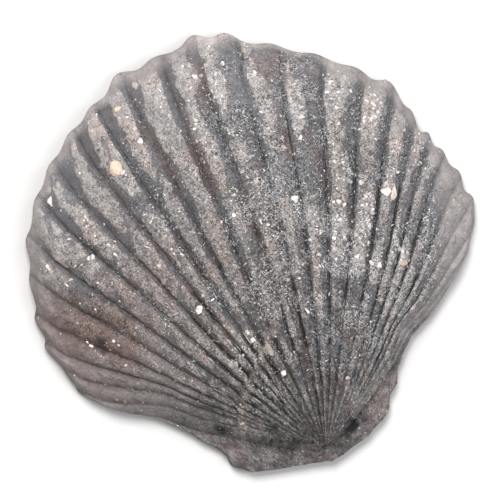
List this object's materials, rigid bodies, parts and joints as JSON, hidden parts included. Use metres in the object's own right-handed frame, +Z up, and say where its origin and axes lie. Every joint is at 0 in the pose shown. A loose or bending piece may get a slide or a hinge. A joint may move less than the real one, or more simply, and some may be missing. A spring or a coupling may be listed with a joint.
{
  "type": "fossil scallop",
  "caption": "Thick, worn fossil scallop valve, dark grey, its broad ribs fanning from the beak under a dusting of pale shell grit, lying hollow side down.",
  "frame": {"origin": "middle of the valve's footprint, on the surface that the rim rests on", "axes": "+X along the hinge, +Y from the beak to the far margin, +Z up out of the ribbed outside"},
  "size_m": [0.1136, 0.1118, 0.0278],
  "materials": {
    "fossil_shell": "worn mineralised shell, dull, with a sandy crust"
  },
  "bodies": {
    "root": {"scallop_valve": "fossil_shell"}
  },
  "joints": []
}
